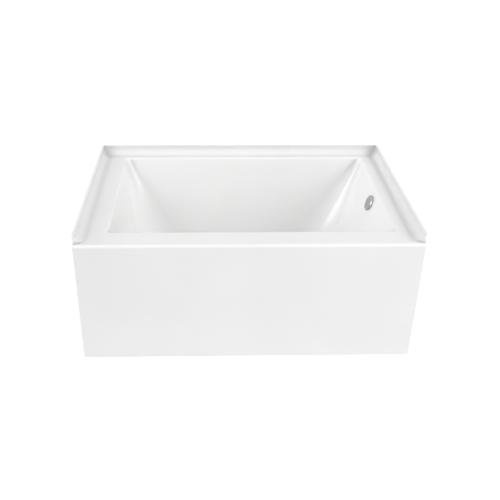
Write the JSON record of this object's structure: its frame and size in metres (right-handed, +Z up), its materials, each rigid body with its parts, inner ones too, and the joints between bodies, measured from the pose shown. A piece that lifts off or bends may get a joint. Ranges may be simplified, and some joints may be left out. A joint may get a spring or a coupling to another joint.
{
  "type": "alcove bathtub",
  "caption": "Alcove bathtub with a flat apron front, a raised tiling flange on three sides, a sloping rectangular basin and an end overflow.",
  "frame": {"origin": "bottom centre of the tub on the room's floor", "axes": "+X along the tub towards the waste and overflow end, +Y towards the back wall of the alcove so the apron faces -Y, +Z up"},
  "size_m": [1.2192, 0.8128, 0.5207],
  "materials": {
    "acrylic": "gloss white sanitary acrylic",
    "glass_fibre": "sprayed glass-fibre laminate, dull and rough",
    "timber": "sawn softwood",
    "plywood": "plywood board, sanded",
    "galvanised_sheet": "folded galvanised sheet",
    "zinc_steel": "bright zinc plate",
    "foot_plastic": "moulded black plastic",
    "chrome": "polished chrome plate",
    "brass": "turned brass",
    "black_rubber": "black rubber",
    "washer_plastic": "translucent washer plastic",
    "waste_plastic": "white waste fittings"
  },
  "bodies": {
    "bath": {"apron_panel": "acrylic", "apron_sill_batten": "timber", "apron_stiffener_left": "timber", "apron_stiffener_middle": "timber", "apron_stiffener_right": "timber", "base_board": "plywood", "cross_rail_left": "galvanised_sheet", "cross_rail_right": "galvanised_sheet", "front_deck_batten": "timber", "left_deck_batten": "timber", "overflow_back_plate": "chrome", "overflow_cap": "chrome", "overflow_elbow": "waste_plastic", "overflow_gasket": "black_rubber", "overflow_pipe": "waste_plastic", "overflow_screws": "chrome", "rail_nut_front_left": "zinc_steel", "rail_nut_front_right": "zinc_steel", "rail_nut_rear_left": "zinc_steel", "rail_nut_rear_right": "zinc_steel", "rail_screws": "zinc_steel", "rear_deck_batten": "timber", "right_deck_batten": "timber", "shell_backing": "glass_fibre", "slip_nut_elbow": "waste_plastic", "slip_nut_overflow": "waste_plastic", "slip_nut_tail": "waste_plastic", "slip_nut_waste": "waste_plastic", "slip_washer_elbow": "washer_plastic", "slip_washer_overflow": "washer_plastic", "slip_washer_tail": "washer_plastic", "slip_washer_waste": "washer_plastic", "stopper_sleeve": "brass", "tail_pipe": "waste_plastic", "tub_shell": "acrylic", "waste_flange": "chrome", "waste_seal": "black_rubber", "waste_shoe": "waste_plastic", "waste_tee": "waste_plastic"},
    "stopper": {"stopper_cap": "chrome", "stopper_seal": "black_rubber", "stopper_stem": "brass"},
    "foot_front_left": {"foot_pad_front_left": "foot_plastic", "foot_stud_front_left": "zinc_steel", "foot_lock_nut_front_left": "zinc_steel"},
    "foot_front_right": {"foot_pad_front_right": "foot_plastic", "foot_stud_front_right": "zinc_steel", "foot_lock_nut_front_right": "zinc_steel"},
    "foot_rear_left": {"foot_pad_rear_left": "foot_plastic", "foot_stud_rear_left": "zinc_steel", "foot_lock_nut_rear_left": "zinc_steel"},
    "foot_rear_right": {"foot_pad_rear_right": "foot_plastic", "foot_stud_rear_right": "zinc_steel", "foot_lock_nut_rear_right": "zinc_steel"}
  },
  "joints": [
    {"name": "stopper_lift", "type": "slide", "parent": "bath", "child": "stopper", "axis": [0, 0, 1], "range_m": [0, 0.009]},
    {"name": "foot_level_front_left", "type": "slide", "parent": "bath", "child": "foot_front_left", "axis": [0, 0, 1], "range_m": [-0.012, 0]},
    {"name": "foot_level_front_right", "type": "slide", "parent": "bath", "child": "foot_front_right", "axis": [0, 0, 1], "range_m": [-0.012, 0]},
    {"name": "foot_level_rear_left", "type": "slide", "parent": "bath", "child": "foot_rear_left", "axis": [0, 0, 1], "range_m": [-0.012, 0]},
    {"name": "foot_level_rear_right", "type": "slide", "parent": "bath", "child": "foot_rear_right", "axis": [0, 0, 1], "range_m": [-0.012, 0]}
  ]
}
